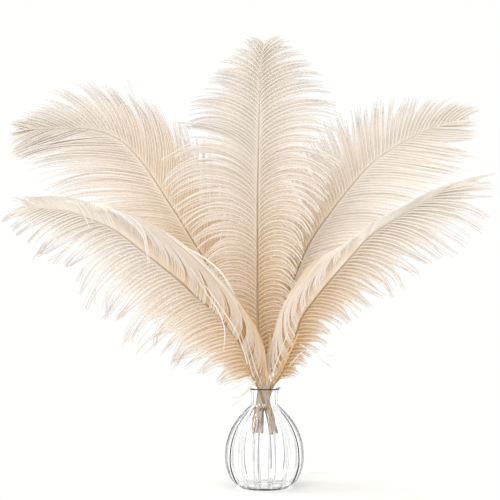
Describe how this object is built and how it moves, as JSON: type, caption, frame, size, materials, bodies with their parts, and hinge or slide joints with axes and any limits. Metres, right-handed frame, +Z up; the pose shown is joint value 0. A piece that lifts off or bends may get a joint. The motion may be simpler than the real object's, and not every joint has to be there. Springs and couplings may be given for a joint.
{
  "type": "ostrich feather bouquet",
  "caption": "Ostrich plumes with long arching barbs, standing spread like a fan in a small ribbed bud vase of clear glass.",
  "frame": {"origin": "centre of the vase's foot, on the surface that it stands on", "axes": "+Z up, +X to the viewer's right along the spread of the plumes, -Y towards the viewer, whom the plumes' faces are turned to"},
  "size_m": [0.4904, 0.2383, 0.4489],
  "materials": {
    "clear_glass": "clear and glossy",
    "feather_barbs": "soft, matt and slightly see-through"
  },
  "bodies": {
    "root": {"vase": "clear_glass", "center_feather": "feather_barbs", "back_left_feather": "feather_barbs", "back_right_feather": "feather_barbs", "front_left_feather": "feather_barbs", "front_right_feather": "feather_barbs"}
  },
  "joints": []
}
